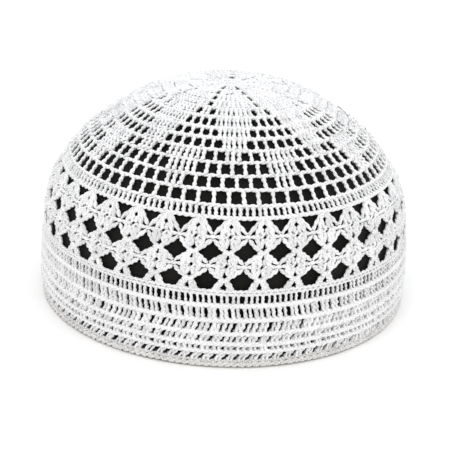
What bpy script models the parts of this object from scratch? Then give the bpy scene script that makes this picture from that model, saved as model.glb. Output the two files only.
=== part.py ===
"""Crochet cap: a round, close-fitting cotton cap worked in rounds from the crown down.

Pieces: crown (nine-petal dome), lace_band (open shell rounds), side_band (plain ribbed
rounds), edging (corded rim that it stands on) and lining (thin dark cloth inside).
Metres, +Z up. The origin is the centre of the rim's plane, where the cap rests.
"""

import bpy
from math import ceil, hypot

MM = 0.001

# ---- driving dimensions, in millimetres ----
WALL = 2.4            # thickness of the crocheted fabric
LINING_WALL = 1.0     # thickness of the lining cloth
GAP = 0.3             # clearance between neighbouring pieces
SIDES = 56            # facets round the cap
LARGEST_STEP = 9.0    # longest facet along the profile
LINING_HEM = 4.5      # height of the lining's lower edge above the rest plane
EDGE_FLAT = 1.7       # width of the flat foot under the rim

# The middle of the wall where each round of stitches ends, from the centre of the crown down.
# Columns: round, radius, height above the rest plane.
ROUNDS = (
    ("pole",      0.0, 105.7),
    ("ring",      5.6, 105.6),
    ("petal_1",  14.0, 105.3),
    ("petal_2",  20.9, 104.7),
    ("petal_3",  27.5, 103.6),
    ("petal_4",  33.4, 102.2),
    ("petal_5",  39.7, 100.2),
    ("petal_6",  46.1, 97.2),
    ("petal_7",  51.3, 94.0),
    ("petal_8",  56.7, 90.3),
    ("mesh_9",   62.0, 86.5),
    ("mesh_10",  67.6, 82.2),
    ("mesh_11",  72.7, 77.5),
    ("mesh_12",  77.3, 72.1),
    ("plain_13", 80.3, 68.2),
    ("fan_1",    84.2, 61.4),
    ("waist_1",  86.9, 55.1),
    ("fan_2",    88.4, 48.5),
    ("waist_2",  89.4, 41.9),
    ("base",     89.8, 36.5),
    ("rib_1",    90.0, 30.4),
    ("rib_2",    90.2, 23.4),
    ("rib_3",    90.3, 16.9),
    ("rib_4",    90.4, 12.0),
    ("rib_5",    90.4, 8.3),
    ("rib_6",    90.4, 3.9),
    ("rim",      90.4,   0.0),
)

# Columns: piece, round it starts at, round it ends at.
FABRIC = (
    ("crown",     "pole",    "mesh_12"),
    ("lace_band", "mesh_12", "base"),
    ("side_band", "base",    "rib_6"),
)

# Columns: piece, colour (linear RGB), roughness, metallic.
FINISHES = {
    "crown":     ((0.88, 0.88, 0.88), 0.90, 0.0),
    "lace_band": ((0.88, 0.88, 0.88), 0.90, 0.0),
    "side_band": ((0.88, 0.88, 0.88), 0.90, 0.0),
    "edging":    ((0.80, 0.79, 0.77), 0.92, 0.0),
    "lining":    ((0.018, 0.018, 0.016), 0.95, 0.0),
}


def clear_scene():
    for obj in list(bpy.data.objects):
        bpy.data.objects.remove(obj, do_unlink=True)


def material(name):
    colour, roughness, metallic = FINISHES[name]
    mat = bpy.data.materials.new(name)
    mat.use_nodes = True
    shader = mat.node_tree.nodes["Principled BSDF"]
    shader.inputs["Base Color"].default_value = (*colour, 1.0)
    shader.inputs["Roughness"].default_value = roughness
    shader.inputs["Metallic"].default_value = metallic
    return mat


def round_index(name):
    return [row[0] for row in ROUNDS].index(name)


def curve_point(i, t):
    """The smooth profile between round i and the next one, at t from 0 to 1 (a Catmull-Rom span)."""
    points = [(row[1], row[2]) for row in ROUNDS]
    before = (-points[1][0], points[1][1]) if i == 0 else points[i - 1]
    after = points[min(i + 2, len(points) - 1)]
    a, b = points[i], points[i + 1]
    return tuple(
        0.5 * (2 * b0 + (b1 - a0) * t + (2 * a0 - 5 * b0 + 4 * b1 - c1) * t * t
               + (3 * b0 - a0 - 3 * b1 + c1) * t ** 3)
        for a0, b0, b1, c1 in zip(before, a, b, after)
    )


def profile(first, last):
    """Points down the middle of the wall from one round to another, no further apart than LARGEST_STEP."""
    points = []
    for i in range(round_index(first), round_index(last)):
        span = hypot(ROUNDS[i + 1][1] - ROUNDS[i][1], ROUNDS[i + 1][2] - ROUNDS[i][2])
        count = max(1, ceil(span / LARGEST_STEP))
        points += [curve_point(i, n / count) for n in range(count)]
    points.append((ROUNDS[round_index(last)][1], ROUNDS[round_index(last)][2]))
    return points


def shortened(points, at_start, at_end):
    """The same line with its first and last spans cut back by these lengths."""
    def cut(a, b, by):
        length = hypot(b[0] - a[0], b[1] - a[1])
        return tuple(p + (q - p) * by / length for p, q in zip(a, b))
    out = list(points)
    if at_start:
        out[0] = cut(points[0], points[1], at_start)
    if at_end:
        out[-1] = cut(points[-1], points[-2], at_end)
    return out


def inset(points, by):
    """The line moved towards the inside of the cap, square to itself."""
    out = []
    for n, (r, z) in enumerate(points):
        a, b = points[max(n - 1, 0)], points[min(n + 1, len(points) - 1)]
        dr, dz = b[0] - a[0], b[1] - a[1]
        length = hypot(dr, dz)
        out.append((0.0, z - by) if r == 0 else (r + by * dz / length, z - by * dr / length))
    return out


def turned(name, points, closed, collection):
    """An object whose profile in the XZ plane is turned about Z with a Screw modifier."""
    mesh = bpy.data.meshes.new(name)
    count = len(points)
    edges = [(n, (n + 1) % count) for n in range(count if closed else count - 1)]
    mesh.from_pydata([(r * MM, 0.0, z * MM) for r, z in points], edges, [])
    obj = bpy.data.objects.new(name, mesh)
    collection.objects.link(obj)
    mesh.materials.append(material(name))
    screw = obj.modifiers.new("turn", "SCREW")
    screw.axis = "Z"
    screw.steps = screw.render_steps = SIDES
    screw.use_merge_vertices = True
    screw.merge_threshold = 0.00001
    screw.use_smooth_shade = True
    return obj


def shell(name, points, thickness, collection):
    """A turned open wall given its thickness, half to each side."""
    obj = turned(name, points, False, collection)
    solid = obj.modifiers.new("wall", "SOLIDIFY")
    solid.thickness = thickness * MM
    solid.offset = 0.0
    solid.use_even_offset = True
    return obj


def edging_section(top):
    """The rim's closed section: a flat foot on the rest plane and a rounded cord above it."""
    radius, half = ROUNDS[-1][1], WALL / 2
    foot = EDGE_FLAT / 2
    return [
        (radius + half * 0.80, top),
        (radius + half * 1.10, top * 0.72),
        (radius + half * 1.12, top * 0.36),
        (radius + foot, 0.0),
        (radius - foot, 0.0),
        (radius - half * 1.12, top * 0.36),
        (radius - half * 1.10, top * 0.72),
        (radius - half * 0.80, top),
    ]


def lining_profile():
    """The fabric's line moved in, clear of the wall, and ended at the hem's height."""
    by = WALL / 2 + GAP + LINING_WALL / 2
    points = inset(profile("pole", "rim"), by)
    kept = [p for p in points if p[1] > LINING_HEM + 1.0]
    kept = [p for n, p in enumerate(kept) if n % 2 == 0 or n == len(kept) - 1]
    return kept + [(kept[-1][0], LINING_HEM)]


def main():
    clear_scene()
    cap = bpy.data.collections.new("crochet_cap")
    bpy.context.scene.collection.children.link(cap)
    for name, first, last in FABRIC:
        line = shortened(
            profile(first, last), 0.0 if first == "pole" else GAP / 2, GAP / 2
        )
        shell(name, line, WALL, cap)
    top = ROUNDS[round_index("rib_6")][2] - GAP / 2
    turned("edging", edging_section(top), True, cap)
    shell("lining", lining_profile(), LINING_WALL, cap)


main()
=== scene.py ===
"""Crochet cap, visual model.

Every stitch is real yarn: posts of two twisted strands round a core, and corded rounds between
them, laid on the same turned profile as the solids. The rounds are charted below, from the
centre of the crown down. Metres, +Z up; azimuth 0 is the front (-Y) and grows towards +X.
"""

import math

import bpy
import numpy as np
from mathutils import Matrix, Vector


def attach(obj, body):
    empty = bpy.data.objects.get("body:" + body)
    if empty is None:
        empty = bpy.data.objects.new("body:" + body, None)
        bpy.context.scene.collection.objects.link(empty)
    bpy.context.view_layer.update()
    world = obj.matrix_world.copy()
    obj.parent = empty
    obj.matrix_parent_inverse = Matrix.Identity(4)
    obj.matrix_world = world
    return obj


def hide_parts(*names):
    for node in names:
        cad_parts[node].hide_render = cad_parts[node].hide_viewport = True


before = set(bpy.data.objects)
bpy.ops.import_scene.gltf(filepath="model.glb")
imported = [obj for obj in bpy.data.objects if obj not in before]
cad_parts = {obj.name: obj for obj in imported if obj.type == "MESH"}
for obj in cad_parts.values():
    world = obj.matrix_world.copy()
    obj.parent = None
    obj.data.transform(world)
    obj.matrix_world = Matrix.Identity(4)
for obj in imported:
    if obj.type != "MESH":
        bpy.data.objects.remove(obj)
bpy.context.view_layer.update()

MM = 0.001

# ------------------------------------------------------------------ the cap's profile
# Middle of the wall where each round ends. Columns: round, radius mm, height mm.
ROUNDS = (
    ("pole",      0.0, 105.7),
    ("ring",      5.6, 105.6),
    ("petal_1",  14.0, 105.3),
    ("petal_2",  20.9, 104.7),
    ("petal_3",  27.5, 103.6),
    ("petal_4",  33.4, 102.2),
    ("petal_5",  39.7, 100.2),
    ("petal_6",  46.1, 97.2),
    ("petal_7",  51.3, 94.0),
    ("petal_8",  56.7, 90.3),
    ("mesh_9",   62.0, 86.5),
    ("mesh_10",  67.6, 82.2),
    ("mesh_11",  72.7, 77.5),
    ("mesh_12",  77.3, 72.1),
    ("plain_13", 80.3, 68.2),
    ("fan_1",    84.2, 61.4),
    ("waist_1",  86.9, 55.1),
    ("fan_2",    88.4, 48.5),
    ("waist_2",  89.4, 41.9),
    ("base",     89.8, 36.5),
    ("rib_1",    90.0, 30.4),
    ("rib_2",    90.2, 23.4),
    ("rib_3",    90.3, 16.9),
    ("rib_4",    90.4, 12.0),
    ("rib_5",    90.4, 8.3),
    ("rib_6",    90.4, 3.9),
    ("rim",      90.4,   0.0),
)


def smooth_profile(steps=12):
    """Arc length, radius, height and outward normal down the profile, and the arc length of each round."""
    pts = np.array([row[1:] for row in ROUNDS])
    ends = np.vstack([[-pts[1, 0], pts[1, 1]], pts, pts[-1]])
    t = np.linspace(0, 1, steps, endpoint=False)[:, None]
    out = []
    for i in range(len(pts) - 1):
        a, b, c, d = ends[i], ends[i + 1], ends[i + 2], ends[i + 3]
        out.append(0.5 * (2 * b + (c - a) * t + (2 * a - 5 * b + 4 * c - d) * t**2 + (3 * b - a - 3 * c + d) * t**3))
    line = np.vstack(out + [pts[-1:]])
    arc = np.concatenate([[0], np.cumsum(np.hypot(*np.diff(line, axis=0).T))])
    slope = np.gradient(line, arc, axis=0)
    normal = np.stack([-slope[:, 1], slope[:, 0]], axis=1)
    normal /= np.linalg.norm(normal, axis=1)[:, None]
    normal[0] = (0, 1)
    stations = {row[0]: arc[n * steps] for n, row in enumerate(ROUNDS)}
    return arc, line[:, 0], line[:, 1], normal[:, 0], normal[:, 1], stations


ARC, RADIUS, HEIGHT, NORMAL_R, NORMAL_Z, AT = smooth_profile()
# How far below its row of the table a worked round lies, mm along the profile.
for name, drop in (("petal_5", 0.4), ("petal_6", 0.6), ("petal_7", 0.6), ("petal_8", 0.5), ("mesh_9", 0.4),
                   ("mesh_10", 0.4), ("mesh_11", 0.4), ("mesh_12", 0.5), ("plain_13", 0.8), ("fan_1", 1.3),
                   ("waist_1", 1.4), ("fan_2", 0.6)):
    AT[name] += drop


def radius_at(s):
    return np.interp(s, ARC, RADIUS)


def place(azimuth, s, out=0.0):
    """Points (mm) and outward normals of the fabric at an azimuth in degrees, an arc length and an offset in mm."""
    azimuth, s, out = np.broadcast_arrays(np.radians(azimuth), s, out)
    fade = np.clip(s / 60, 0, 1) * np.clip((ARC[-1] - s) / 12, 0, 1)
    s = s + fade * (0.16 * np.sin(5 * azimuth + 0.21 * s) + 0.10 * np.sin(11 * azimuth - 0.35 * s + 1))
    azimuth = azimuth + fade * (0.0016 * np.sin(8 * azimuth + 0.3 * s) + 0.0011 * np.sin(17 * azimuth - 0.5 * s))
    r, z = np.interp(s, ARC, RADIUS), np.interp(s, ARC, HEIGHT)
    nr, nz = np.interp(s, ARC, NORMAL_R), np.interp(s, ARC, NORMAL_Z)
    sin, cos = np.sin(azimuth), np.cos(azimuth)
    normal = np.stack([nr * sin, -nr * cos, nz], axis=-1)
    return np.stack([r * sin, -r * cos, z], axis=-1) + out[..., None] * normal, normal


# ------------------------------------------------------------------ yarn
def unit(v):
    return v / np.maximum(np.linalg.norm(v, axis=-1, keepdims=True), 1e-12)


class Yarn:
    """Collects tubes and makes one mesh of them."""

    def __init__(self):
        self.verts, self.quads, self.uvs, self.tones, self.count = [], [], [], [], 0

    def tubes(self, paths, ups, radii, sides=5, closed=False, tone=0.0):
        """Tubes along paths (M, N, 3), their flat side kept by the normals ups, with radii (M, N)."""
        m, n = paths.shape[:2]
        radii = np.broadcast_to(radii, (m, n))
        if closed:
            along = np.roll(paths, -1, axis=1) - np.roll(paths, 1, axis=1)
        else:
            along = np.gradient(paths, axis=1)
        along = unit(along)
        side = unit(np.cross(along, ups))
        up = np.cross(side, along)
        angle = np.linspace(0, 2 * np.pi, sides, endpoint=False)
        ring = (side[:, :, None] * np.cos(angle)[:, None] + up[:, :, None] * np.sin(angle)[:, None])
        verts = paths[:, :, None] + ring * radii[:, :, None, None]
        steps = n if closed else n - 1
        i = np.arange(steps)[:, None]
        j = np.arange(sides)[None]
        i2, j2 = (i + 1) % n, (j + 1) % sides
        quad = np.stack([i * sides + j, i * sides + j2, i2 * sides + j2, i2 * sides + j], axis=-1).reshape(-1, 4)
        quads = (quad[None] + (np.arange(m) * n * sides)[:, None, None]).reshape(-1, 4)
        lengths = np.linalg.norm(np.diff(paths, axis=1), axis=2)
        u = np.concatenate([np.zeros((m, 1)), np.cumsum(lengths, axis=1)], axis=1)
        if closed:
            u = np.concatenate([u, u[:, -1:] + np.linalg.norm(paths[:, :1] - paths[:, -1:], axis=2)], axis=1)
        a, b = u[:, :steps, None], u[:, 1:steps + 1, None]
        v0, v1 = j / sides, (j + 1) / sides
        uv = np.stack([
            np.stack(np.broadcast_arrays(a, v0), axis=-1), np.stack(np.broadcast_arrays(a, v1), axis=-1),
            np.stack(np.broadcast_arrays(b, v1), axis=-1), np.stack(np.broadcast_arrays(b, v0), axis=-1),
        ], axis=3)
        self.verts.append(verts.reshape(-1, 3))
        self.quads.append(quads + self.count)
        self.uvs.append(uv.reshape(-1, 2))
        self.tones.append(np.broadcast_to(np.reshape(tone, (-1, 1)), (m, n * sides)).reshape(-1))
        self.count += m * n * sides

    def twisted(self, azimuth, s, out, strand, spread, turns, start, strands=2, sides=5, closed=False,
                core=None, tone=0.0, depth=1.0):
        """Strands twisted round base lines given as azimuth, arc length and offset, each (M, N).

        depth stretches the twist through the fabric's thickness.
        """
        base, ups = place(azimuth, s, out)
        if closed:
            along = unit(np.roll(base, -1, axis=1) - np.roll(base, 1, axis=1))
        else:
            along = unit(np.gradient(base, axis=1))
        side = unit(np.cross(along, ups))
        lift = np.cross(side, along) * np.reshape(depth, (-1, 1, 1))
        n = base.shape[1]
        t = np.linspace(0, 1, n, endpoint=not closed)
        start = np.reshape(start, (-1, 1))
        spread = np.broadcast_to(spread, base.shape[:2])
        for k in range(strands):
            angle = start + 2 * np.pi * (turns * t + k / strands)
            path = base + (np.cos(angle) * spread)[..., None] * side + (np.sin(angle) * spread)[..., None] * lift
            self.tubes(path, ups, strand, sides, closed, tone)
        if core is not None:
            self.tubes(base, ups, core, 4, closed, tone)

    def make(self, name, material):
        verts, quads = np.vstack(self.verts) * MM, np.vstack(self.quads)
        mesh = bpy.data.meshes.new(name)
        mesh.vertices.add(len(verts))
        mesh.vertices.foreach_set("co", verts.astype(np.float32).ravel())
        mesh.loops.add(quads.size)
        mesh.loops.foreach_set("vertex_index", quads.astype(np.int32).ravel())
        mesh.polygons.add(len(quads))
        mesh.polygons.foreach_set("loop_start", np.arange(0, quads.size, 4, dtype=np.int32))
        mesh.polygons.foreach_set("use_smooth", np.ones(len(quads), dtype=bool))
        mesh.update(calc_edges=True)
        layer = mesh.uv_layers.new(name="yarn")
        layer.data.foreach_set("uv", np.vstack(self.uvs).astype(np.float32).ravel())
        # This attribute carries the yarn's random tone together with painted light and shade.
        tone = mesh.attributes.new("tone", "FLOAT", "POINT")
        tone.data.foreach_set("value", np.concatenate(self.tones).astype(np.float32))
        mesh.materials.append(material)
        obj = bpy.data.objects.new(name, mesh)
        bpy.context.scene.collection.objects.link(obj)
        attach(obj, "root")
        print(f"{name}: {2 * len(quads)} triangles")
        return obj


rng = np.random.default_rng(12)


def hand(shape, size):
    """The small unevenness of hand work: seeded, limited noise."""
    return np.clip(rng.normal(0, size, shape), -2 * size, 2 * size)


def posts(yarn, bottom_az, bottom_s, top_az, top_s, width=1.9, ends=(1.0, 1.0), flare=0.0, turns=1.25, samples=8,
          bulge=0.0, bump=0.0, bump_at=0.5, bump_length=0.13, wobble=0.10, body=0.72, uneven=0.05, pinch=0.0, tone=0.0,
          depth=1.0):
    """Stitch posts between pairs of points; bottom is the end nearer the rim.

    width is in mm, ends scale it at the bottom and top, flare widens both ends against the middle, pinch narrows
    the middle by that fraction, and bump pushes the post sideways (mm) round bump_at, a fraction of its length
    from the bottom.
    """
    bottom_az, bottom_s, top_az, top_s, width, bump = (
        np.atleast_1d(np.asarray(v, float)) for v in
        np.broadcast_arrays(bottom_az, bottom_s, top_az, top_s, width, bump))
    m = len(bottom_az)
    t = np.linspace(0, 1, samples)[None]
    ends = [np.broadcast_to(np.asarray(e, float), (m,))[:, None] for e in ends]
    size = width[:, None] * (ends[0] + (ends[1] - ends[0]) * t) * (1 + flare * np.abs(2 * t - 1) ** 3)
    size = size * (1 - pinch * np.exp(-(((2 * t - 1) / 0.42) ** 2))) * (1 + hand((m, 1), uneven))
    mm_per_degree = np.radians(1) * np.maximum(radius_at((bottom_s + top_s) / 2), 3.0)[:, None]
    aside = hand((m, 1), wobble) * np.sin(np.pi * t) + bump[:, None] * np.exp(-(((t - bump_at) / bump_length) ** 2))
    az = bottom_az[:, None] + (top_az - bottom_az)[:, None] * t + aside / mm_per_degree
    s = bottom_s[:, None] + (top_s - bottom_s)[:, None] * t
    out = bulge * np.sin(np.pi * t) + hand((m, 1), 0.06)
    yarn.twisted(az, s, out, 0.27 * size, 0.25 * size, turns, hand(m, 0.35) + 0.6, core=0.5 * body * size,
                 tone=tone + hand(m, 0.5), depth=depth)


def cord(yarn, s, stitches, width=2.1, phase=0.0, out=0.25, per=3, eyelets=None, body=0.55, tone=0.0):
    """A round's corded edge: two strands that cross once in every stitch. eyelets is (count, phase, opening mm)."""
    n = stitches * per
    az = np.linspace(0, 360, n, endpoint=False)[None] + phase
    spread = np.full((1, n), 0.24 * width)
    core = np.full((1, n), 0.5 * body * width)
    if eyelets:
        count, at, opening = eyelets
        near = ((1 + np.cos(np.radians(az - at) * count)) / 2) ** 14
        spread, core = spread + opening * near, None
    yarn.twisted(az, np.full((1, n), s), np.full((1, n), out), 0.27 * width, spread, stitches / 2, 0.0, closed=True,
                 core=core, tone=tone)


def bars(yarn, az, half, s, width, out=0.3, samples=9, turns=1.0):
    """Short corded lengths along a round, centred on az and reaching half degrees each way."""
    az = np.asarray(az)[:, None] + half * np.linspace(-1, 1, samples)[None]
    size = width * (1 - 0.35 * np.linspace(-1, 1, samples)[None] ** 4) * np.ones_like(az)
    yarn.twisted(az, np.full(az.shape, s), np.full(az.shape, out), 0.27 * size, 0.25 * size, turns, 0.8,
                 core=0.36 * size, tone=hand(len(az), 0.4))


# ------------------------------------------------------------------ materials
def node(tree, kind, **settings):
    made = tree.nodes.new(kind)
    for key, value in settings.items():
        setattr(made, key, value)
    return made


def yarn_material(name, light, shade, roughness, fuzz):
    """Plied cotton: fine helical ply lines with their grooves painted darker as shade, soft mottling and a faint sheen.
    """
    mat = bpy.data.materials.new(name)
    mat.use_nodes = True
    tree = mat.node_tree
    link = tree.links.new
    shader = tree.nodes["Principled BSDF"]
    shader.inputs["Roughness"].default_value = roughness
    shader.inputs["Sheen Weight"].default_value = fuzz
    shader.inputs["Sheen Roughness"].default_value = 0.45
    shader.inputs["Specular IOR Level"].default_value = 0.25

    uv = node(tree, "ShaderNodeUVMap", uv_map="yarn")
    split = node(tree, "ShaderNodeSeparateXYZ")
    link(uv.outputs["UV"], split.inputs[0])
    along = node(tree, "ShaderNodeMath", operation="MULTIPLY")
    along.inputs[1].default_value = 5.5
    link(split.outputs["X"], along.inputs[0])
    around = node(tree, "ShaderNodeMath", operation="MULTIPLY_ADD")
    around.inputs[1].default_value = 12.5664
    link(split.outputs["Y"], around.inputs[0])
    link(along.outputs[0], around.inputs[2])
    ply = node(tree, "ShaderNodeMath", operation="SINE")
    link(around.outputs[0], ply.inputs[0])

    place_node = node(tree, "ShaderNodeTexCoord")
    fibre = node(tree, "ShaderNodeTexNoise")
    fibre.inputs["Scale"].default_value = 2600.0
    fibre.inputs["Detail"].default_value = 3.0
    link(place_node.outputs["Object"], fibre.inputs["Vector"])
    height = node(tree, "ShaderNodeMath", operation="MULTIPLY_ADD")
    height.inputs[1].default_value = 0.55
    link(fibre.outputs["Fac"], height.inputs[0])
    scaled = node(tree, "ShaderNodeMath", operation="MULTIPLY")
    scaled.inputs[1].default_value = 0.35
    link(ply.outputs[0], scaled.inputs[0])
    link(scaled.outputs[0], height.inputs[2])
    bump = node(tree, "ShaderNodeBump")
    bump.inputs["Strength"].default_value = 0.55
    bump.inputs["Distance"].default_value = 0.0003
    link(height.outputs[0], bump.inputs["Height"])
    link(bump.outputs["Normal"], shader.inputs["Normal"])

    mottle = node(tree, "ShaderNodeTexNoise")
    mottle.inputs["Scale"].default_value = 90.0
    mottle.inputs["Detail"].default_value = 2.0
    link(place_node.outputs["Object"], mottle.inputs["Vector"])
    soft = node(tree, "ShaderNodeMath", operation="MULTIPLY_ADD")
    soft.inputs[1].default_value = 0.45
    soft.inputs[2].default_value = 0.29
    link(mottle.outputs["Fac"], soft.inputs[0])
    # Per-vertex tone: random tone from strand to strand, plus painted light set part by part: lighter towards the
    # crown's centre, darker on the lace and side bands and the rim cord, lighter on the proud ribs.
    tone = node(tree, "ShaderNodeAttribute", attribute_name="tone")
    mixer = node(tree, "ShaderNodeMath", operation="MULTIPLY_ADD")
    mixer.inputs[1].default_value = 0.28
    link(tone.outputs["Fac"], mixer.inputs[0])
    link(soft.outputs[0], mixer.inputs[2])
    # Painted shade: the colour darkens in the troughs of the ply wave that also drives the bump, standing in for shade
    # in the grooves between the plies.
    painted_groove_shade = node(tree, "ShaderNodeMath", operation="MULTIPLY_ADD")
    painted_groove_shade.inputs[1].default_value = 0.20
    link(ply.outputs[0], painted_groove_shade.inputs[0])
    link(mixer.outputs[0], painted_groove_shade.inputs[2])
    ramp = node(tree, "ShaderNodeValToRGB")
    ramp.color_ramp.elements[0].position = 0.25
    ramp.color_ramp.elements[0].color = (*shade, 1)
    ramp.color_ramp.elements[1].position = 0.62
    ramp.color_ramp.elements[1].color = (*light, 1)
    link(painted_groove_shade.outputs[0], ramp.inputs["Fac"])
    link(ramp.outputs["Color"], shader.inputs["Base Color"])
    return mat


def cloth_material(name, light, dark):
    """Plain dark weave, its hollows painted darker as shade."""
    mat = bpy.data.materials.new(name)
    mat.use_nodes = True
    tree = mat.node_tree
    link = tree.links.new
    shader = tree.nodes["Principled BSDF"]
    shader.inputs["Roughness"].default_value = 0.92
    shader.inputs["Specular IOR Level"].default_value = 0.12
    shader.inputs["Sheen Weight"].default_value = 0.08
    uv = node(tree, "ShaderNodeUVMap", uv_map="cloth")
    split = node(tree, "ShaderNodeSeparateXYZ")
    link(uv.outputs["UV"], split.inputs[0])
    waves = []
    for axis in "XY":
        wave = node(tree, "ShaderNodeMath", operation="SINE")
        link(split.outputs[axis], wave.inputs[0])
        waves.append(wave)
    weave = node(tree, "ShaderNodeMath", operation="MULTIPLY")
    link(waves[0].outputs[0], weave.inputs[0])
    link(waves[1].outputs[0], weave.inputs[1])
    bump = node(tree, "ShaderNodeBump")
    bump.inputs["Strength"].default_value = 0.5
    bump.inputs["Distance"].default_value = 0.00015
    link(weave.outputs[0], bump.inputs["Height"])
    link(bump.outputs["Normal"], shader.inputs["Normal"])
    coords = node(tree, "ShaderNodeTexCoord")
    noise = node(tree, "ShaderNodeTexNoise")
    noise.inputs["Scale"].default_value = 60.0
    link(coords.outputs["Object"], noise.inputs["Vector"])
    # Painted shade: the colour darkens where the weave's bump height is low, in its hollows.
    mixer = node(tree, "ShaderNodeMath", operation="MULTIPLY_ADD")
    mixer.inputs[1].default_value = 0.18
    link(weave.outputs[0], mixer.inputs[0])
    link(noise.outputs["Fac"], mixer.inputs[2])
    ramp = node(tree, "ShaderNodeValToRGB")
    ramp.color_ramp.elements[0].position = 0.3
    ramp.color_ramp.elements[0].color = (*dark, 1)
    ramp.color_ramp.elements[1].position = 0.7
    ramp.color_ramp.elements[1].color = (*light, 1)
    link(mixer.outputs[0], ramp.inputs["Fac"])
    link(ramp.outputs["Color"], shader.inputs["Base Color"])
    return mat


white_yarn = yarn_material("white_yarn", (0.955, 0.95, 0.95), (0.74, 0.74, 0.745), 0.85, 0.25)
edging_yarn = yarn_material("edging_yarn", (0.83, 0.815, 0.80), (0.58, 0.57, 0.555), 0.9, 0.2)
lining_cloth = cloth_material("lining_cloth", (0.017, 0.016, 0.014), (0.008, 0.008, 0.007))

# ------------------------------------------------------------------ crown
SECTORS = 9
# One sector of each round, from one spoke line to the next: I is a post, o is an open cell.
# Columns: round it starts at, round it ends at, the sector's chart, phase in degrees, half-step shift.
CROWN = (
    ("ring",    "petal_1", "oIII",             -1.5, 0.0),
    ("petal_1", "petal_2", "oIIIII",            0.4, 0.0),
    ("petal_2", "petal_3", "oIIIIIII",          2.6, 0.0),
    ("petal_3", "petal_4", "oIIIIIIIII",        3.0, 0.0),
    ("petal_4", "petal_5", "IoIIIIIIIIoI",      2.8, 0.5),
    ("petal_5", "petal_6", "IoIoIIIIIIIIIoIo",  2.9, 0.0),
    ("petal_6", "petal_7", "oIoIoIIIIIIIoIoI",  3.0, 0.0),
    ("petal_7", "petal_8", "IoIoIoIIIIIoIoIo",  3.0, 0.0),
    ("petal_8", "mesh_9",  "IIIIoIoIIIoIoIII",  2.2, 0.0),
    ("mesh_9",  "mesh_10", "IIIoIoIoIoIoIoII",  2.1, 0.0),
    ("mesh_10", "mesh_11", "IIoIoIoIoIoIoIoI",  1.25, 0.0),
    ("mesh_11", "mesh_12", "IoIoIoIoIoIoIoIo",  0.97, 0.0),
)
SINGLE = 2.15         # mm: width of a post that stands alone between open cells
# Slit left between posts that stand together, mm: all along them and how much more at their middle, by the round's
# number from the centre.
SLITS = ((-0.35, 0.0), (-0.30, 0.0), (-0.25, 0.1), (-0.25, 0.3), (-0.15, 0.5), (-0.12, 0.65), (-0.05, 0.70), (0.10, 0.65),
         (0.30, 0.55), (0.52, 0.40), (0.75, 0.30), (1.00, 0.20))


def crown_posts(yarn, rows, first):
    for (top, bottom, chart, phase, shift), (slit, middle) in zip(rows, SLITS[first:]):
        count = SECTORS * len(chart)
        step = 360 / count
        is_post = np.array([chart[k % len(chart)] == "I" for k in range(count)])
        alone = is_post & ~np.roll(is_post, 1) & ~np.roll(is_post, -1)
        index = np.flatnonzero(is_post)
        az = -180 / SECTORS + (index + shift) * step + phase
        low, high = (np.radians(step) * radius_at(AT[end]) for end in (bottom, top))
        together = (low + high) / 2 - slit
        width = np.where(alone[index], min(SINGLE, low), together)
        # The tone here is painted light: posts are painted lighter towards the crown's centre, which faces the lamps.
        flare, body, tone = (float(np.interp(AT[bottom], (20, 66), ends)) for ends in ((0.15, 0.34), (0.98, 0.72), (0.4, 0.0)))
        loose = 0.05 * step
        posts(yarn, az + hand(len(az), loose), AT[bottom] - 0.2, az - 0.06 * step + hand(len(az), loose), AT[top] + 0.2,
              width=width, flare=flare, bulge=0.1, ends=(min(1.1, 2 * low / (low + high)), 2 * high / (low + high)),
              pinch=middle / together, body=body, tone=tone, depth=np.where(alone[index], 1.0, 1.6))


petals, mesh, rounds = Yarn(), Yarn(), Yarn()
crown_posts(petals, CROWN[:6], 0)
crown_posts(mesh, CROWN[6:], 6)
# the gathered start at the centre
start_az = np.arange(12) * 30.0
posts(petals, start_az, 5.2, start_az + 8, 1.0, width=2.6, ends=(0.95, 0.4), samples=6)
cord(petals, 1.3, 8, width=1.9, out=0.3, per=6)
for name, stitches, width in (("ring", 27, 1.9), ("petal_1", 36, 1.9), ("petal_2", 54, 1.9), ("petal_3", 72, 2.0),
                              ("petal_4", 90, 2.1), ("petal_5", 108, 2.3), ("petal_6", 126, 2.3), ("petal_7", 144, 2.2),
                              ("petal_8", 144, 2.05), ("mesh_9", 144, 1.9), ("mesh_10", 144, 1.9), ("mesh_11", 144, 1.9)):
    # The rounds, too, are painted lighter towards the crown's centre: painted light.
    near_centre = float(np.interp(AT[name], (20, 66), (1.0, 0.0)))
    cord(rounds, AT[name], stitches, width=width, body=0.55 + 0.35 * near_centre, tone=0.4 * near_centre)
cord(rounds, AT["mesh_12"] - 0.1, 162, width=2.0)
crown = [petals.make("crown_petals", white_yarn), mesh.make("crown_mesh", white_yarn),
         rounds.make("crown_rounds", white_yarn)]

# ------------------------------------------------------------------ lace band
MOTIFS = 36
PITCH = 360 / MOTIFS
# A fan's three posts each side of its middle line. Columns for the inner, middle and outer post: how far out it stands, as a
# fraction of the motif's width, and how far short of the round's line it stops, in mm.
LEVELS = {
    "root":  ((0.032, 0.2), (0.062, 0.2), (0.090, 0.2)),
    "full":  ((0.080, 0.9), (0.256, 0.2), (0.470, 1.15)),
    "waist": ((0.050, 0.0), (0.100, 0.4), (0.158, 0.90)),
    "foot":  ((0.110, 0.2), (0.205, 0.2), (0.302, 0.2)),
}
# Columns: upper round, its level, lower round, its level, phase above and below in degrees, the eye between the
# inner posts: opening mm and place from the bottom.
FANS = (
    ("plain_13", "root",  "fan_1",   "full",  2.30, 1.90, 1.25, 0.50),
    ("fan_1",    "full",  "waist_1", "waist", 1.90, 1.30, 1.70, 0.30),
    ("waist_1",  "waist", "fan_2",   "full",  1.30, 0.90, 2.30, 0.55),
    ("fan_2",    "full",  "waist_2", "waist", 0.90, 0.55, 1.90, 0.32),
    ("waist_2",  "waist", "base",    "foot",  0.55, 0.30, 1.15, 0.42),
)
POST_WIDTH = (2.40, 3.05, 2.40)     # inner, middle and outer post of a fan, mm
FAN_FLARE = (0.0, -0.26, -0.26)
NARROW = {"root": 0.60, "full": 1.06, "waist": 0.78, "foot": 0.66}

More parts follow.
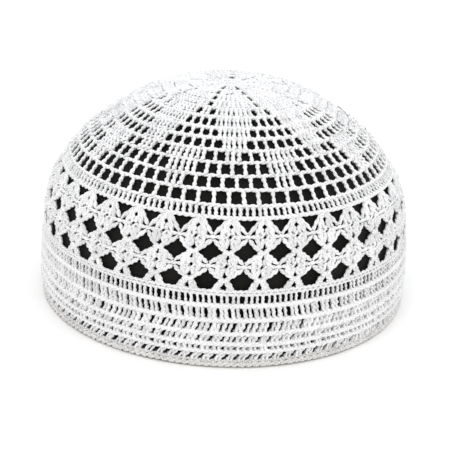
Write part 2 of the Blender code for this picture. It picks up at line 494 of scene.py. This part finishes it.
fans_above, fans_below, plain, chains = Yarn(), Yarn(), Yarn(), Yarn()
centres = np.arange(MOTIFS) * PITCH
for row, (top, top_level, bottom, bottom_level, top_phase, bottom_phase, eye, eye_at) in enumerate(FANS):
    fans = fans_above if row < 3 else fans_below
    for rank in range(3):
        (top_x, top_in), (bottom_x, bottom_in) = LEVELS[top_level][rank], LEVELS[bottom_level][rank]
        for way in (-1, 1):
            # The fan posts are painted darker: painted shade for the lower band under light from above.
            posts(fans, centres + bottom_phase + way * bottom_x * PITCH, AT[bottom] - bottom_in,
                  centres + top_phase + way * top_x * PITCH, AT[top] + top_in, width=POST_WIDTH[rank],
                  flare=FAN_FLARE[rank], ends=(NARROW[bottom_level], NARROW[top_level]), bump=way * eye * (1.0, 0.4, 0.0)[rank], bump_at=eye_at,
                  bump_length=0.10, bulge=0.15, wobble=0.10, samples=8, body=0.70, turns=1.25, uneven=0.08, tone=-0.30)
for name, phase in (("waist_1", 1.3), ("waist_2", 0.55)):
    bars(fans_below, centres + phase, 0.16 * PITCH, AT[name], 2.3)
for name, phase in (("fan_1", 1.9), ("fan_2", 0.9)):
    bars(fans_below, centres + phase + PITCH / 2, 0.055 * PITCH, AT[name], 2.2, out=0.4, samples=6)

count = 180
az = np.arange(count) * 2.0 + 1.0 + hand(count, 0.10)
posts(plain, az, AT["plain_13"] - 0.2, az - 0.15, AT["mesh_12"] + 0.5, width=1.75, flare=0.35, samples=6, turns=1.0,
      uneven=0.09, depth=1.5)
cord(chains, AT["plain_13"], 180, width=2.1)
for name, phase in (("fan_1", 1.9), ("fan_2", 0.9)):
    cord(chains, AT[name], 216, width=1.8, out=0.35, phase=phase, eyelets=(MOTIFS, phase, 1.20))
cord(chains, AT["base"] - 0.60, 216, width=1.7)
cord(chains, AT["base"] + 0.75, 216, width=1.7, phase=0.8)
lace = [fans_above.make("lace_fans_above", white_yarn), fans_below.make("lace_fans_below", white_yarn),
        plain.make("lace_plain_round", white_yarn), chains.make("lace_rounds", white_yarn)]

# ------------------------------------------------------------------ side band
STITCHES = 216
# Columns: upper round, lower round, lean (stitches, top to the right), post width mm, how far every second slit
# opens (fraction of a stitch), flare, turns of the strands, unevenness.
RIBS = (
    ("base",  "rib_1", -0.10, 1.65, 0.08, 0.35, 1.25, 0.12),
    ("rib_1", "rib_2", -0.40, 2.15, 0.18, 0.30, 1.25, 0.13),
    ("rib_2", "rib_3",  0.75, 2.35, 0.17, 0.50, 1.00, 0.14),
    ("rib_3", "rib_4",  0.60, 2.30, 0.22, 0.55, 0.75, 0.12),
    ("rib_4", "rib_5",  0.30, 2.40, 0.20, 0.40, 0.50, 0.12),
    ("rib_5", "rib_6",  1.10, 1.80, 0.27, 0.10, 0.75, 0.14),
)
band, ribs = Yarn(), Yarn()
step = 360 / STITCHES
pairs = np.where(np.arange(STITCHES) % 2, -0.5, 0.5)
for row, (top, bottom, lean, width, pair, flare, turns, uneven) in enumerate(RIBS):
    az = np.arange(STITCHES) * step + 0.4 * row + pairs * pair * step + hand(STITCHES, 0.05 * step)
    # The band's posts are painted darker: painted shade in the recesses between the ribs.
    posts(band, az, AT[bottom] - 0.2, az + lean * step, AT[top] + 0.2, width=width, flare=flare, turns=turns, samples=5,
          wobble=0.18, uneven=uneven, depth=1.6, tone=-0.25)
# The proud ribs are painted lighter: painted light.
for name, width in (("rib_1", 2.4), ("rib_2", 2.6), ("rib_3", 2.6), ("rib_4", 2.5), ("rib_5", 2.3)):
    cord(ribs, AT[name], STITCHES, width=width, out=0.95, phase=0.5, body=0.7, tone=0.1)
side = [band.make("side_band_stitches", white_yarn), ribs.make("side_band_ribs", white_yarn)]

# ------------------------------------------------------------------ edging
rim = Yarn()
# This cord is painted darker: painted shade low on the cap.
cord(rim, AT["rib_6"] + 0.35, STITCHES, width=1.7, out=0.25, tone=-0.2)
knots = 180
az = np.arange(knots) * 360 / knots + hand(knots, 0.16)
posts(rim, az + 1.0, AT["rim"] - 1.00, az, AT["rib_6"] + 0.5, width=2.6, turns=1.0, samples=6, uneven=0.10, body=0.62)
cord(rim, AT["rim"] - 1.70, knots, width=2.6, out=0.15, per=4, body=0.62)
edging = rim.make("edging_cord", edging_yarn)

# ------------------------------------------------------------------ lining
def lining_piece():
    sides = 120
    hem = 4.6
    bottom = float(np.interp(-hem, -HEIGHT, ARC))
    s = np.concatenate([np.linspace(0, AT["base"], 46), np.linspace(AT["base"], bottom, 12)[1:]])
    az = np.linspace(0, 360, sides, endpoint=False)
    outer = -2.15 + 0.12 * np.sin(np.radians(az * 9))[None] * np.minimum(s / 60, 1)[:, None]
    grid_s = np.repeat(s[:, None], sides, 1)
    grid_az = np.repeat(az[None], len(s), 0)
    verts, faces, uvs = [], [], []
    layers = [(outer, False), (outer - 0.7, True)]
    for n, (offset, flip) in enumerate(layers):
        p, _ = place(grid_az, grid_s, offset)
        verts.append(p.reshape(-1, 3))
    rows = len(s)
    for layer, flip in enumerate((False, True)):
        base = layer * rows * sides
        for i in range(rows - 1):
            for j in range(sides):
                k = (j + 1) % sides
                quad = (base + i * sides + j, base + (i + 1) * sides + j, base + (i + 1) * sides + k, base + i * sides + k)
                faces.append(quad[::-1] if flip else quad)
                r0, r1 = radius_at(s[i]), radius_at(s[i + 1])
                u0, u1 = j * 2 * math.pi / sides, (j + 1) * 2 * math.pi / sides
                scale = 2 * math.pi / 0.8
                corner = [(u0 * 90 * scale, s[i] * scale), (u0 * 90 * scale, s[i + 1] * scale),
                          (u1 * 90 * scale, s[i + 1] * scale), (u1 * 90 * scale, s[i] * scale)]
                uvs += corner[::-1] if flip else corner
    last = (rows - 1) * sides
    for j in range(sides):
        k = (j + 1) % sides
        faces.append((last + j, rows * sides + last + j, rows * sides + last + k, last + k))
        uvs += [(0, 0)] * 4
    mesh_data = bpy.data.meshes.new("lining_cloth")
    mesh_data.from_pydata((np.vstack(verts) * MM).tolist(), [], faces)
    layer = mesh_data.uv_layers.new(name="cloth")
    layer.data.foreach_set("uv", np.array(uvs, dtype=np.float32).ravel())
    mesh_data.polygons.foreach_set("use_smooth", np.ones(len(faces), dtype=bool))
    mesh_data.materials.append(lining_cloth)
    obj = bpy.data.objects.new("lining_cloth", mesh_data)
    bpy.context.scene.collection.objects.link(obj)
    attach(obj, "root")
    return obj


lining = lining_piece()

for group, cad_node, slot in ((crown, "crown", "white_cotton_yarn"), (lace, "lace_band", "white_cotton_yarn"),
                              (side, "side_band", "white_cotton_yarn"), ([edging], "edging", "edging_yarn"),
                              ([lining], "lining", "dark_lining_cloth")):
    for piece in group:
        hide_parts(cad_node)

# ------------------------------------------------------------------ floor, light, camera
floor_mesh = bpy.data.meshes.new("floor")
floor_mesh.from_pydata([(-6, -6, 0), (6, -6, 0), (6, 6, 0), (-6, 6, 0)], [], [(0, 1, 2, 3)])
floor = bpy.data.objects.new("floor", floor_mesh)
bpy.context.scene.collection.objects.link(floor)
floor_mat = bpy.data.materials.new("floor")
floor_mat.use_nodes = True
floor_shader = floor_mat.node_tree.nodes["Principled BSDF"]
floor_shader.inputs["Base Color"].default_value = (0.99, 0.98, 0.97, 1)
floor_shader.inputs["Roughness"].default_value = 0.9
floor_mesh.materials.append(floor_mat)


def area_light(name, size, power, position, target, colour=(1.0, 1.0, 1.0)):
    data = bpy.data.lights.new(name, "AREA")
    data.shape, data.size, data.size_y, data.energy = "RECTANGLE", size[0], size[1], power
    data.color = colour
    obj = bpy.data.objects.new(name, data)
    obj.location = position
    obj.rotation_euler = (Vector(target) - Vector(position)).to_track_quat("-Z", "Y").to_euler()
    bpy.context.scene.collection.objects.link(obj)


area_light("key", (1.6, 1.4), 8.7, (-0.5, -1.2, 1.4), (0, 0, 0.05), (1.0, 0.99, 0.99))
area_light("fill", (1.6, 1.4), 4.5, (1.2, -0.9, 1.0), (0, 0, 0.05), (1.0, 0.99, 0.99))
area_light("top", (2.4, 2.4), 14.5, (0, 0.6, 2.0), (0, 0.5, 0.0), (0.83, 0.93, 1.0))

world = bpy.data.worlds.new("studio")
world.use_nodes = True
world.node_tree.nodes["Background"].inputs["Color"].default_value = (1, 1, 1, 1)
world.node_tree.nodes["Background"].inputs["Strength"].default_value = 0.78
bpy.context.scene.world = world

ELEVATION, ROLL, DISTANCE = math.radians(20.66), math.radians(2.57), 0.5705
back = Vector((0, -math.cos(ELEVATION), math.sin(ELEVATION)))
up = Vector((0, math.sin(ELEVATION), math.cos(ELEVATION)))
right = Vector((1, 0, 0))
cam_x = right * math.cos(ROLL) + up * math.sin(ROLL)
cam_y = up * math.cos(ROLL) - right * math.sin(ROLL)
cam_data = bpy.data.cameras.new("camera")
cam_data.sensor_width = 36
cam_data.lens = 36 * 1132 / 450
cam_data.shift_x, cam_data.shift_y = -0.9 / 450, -27.8 / 450
camera = bpy.data.objects.new("camera", cam_data)
turn = Matrix((cam_x, cam_y, back)).transposed().to_4x4()
camera.matrix_world = Matrix.Translation(Vector((0, 0, 0.04658)) + back * DISTANCE) @ turn
bpy.context.scene.collection.objects.link(camera)
bpy.context.scene.camera = camera

bpy.context.scene.view_settings.view_transform = "Standard"
bpy.context.scene.view_settings.look = "None"
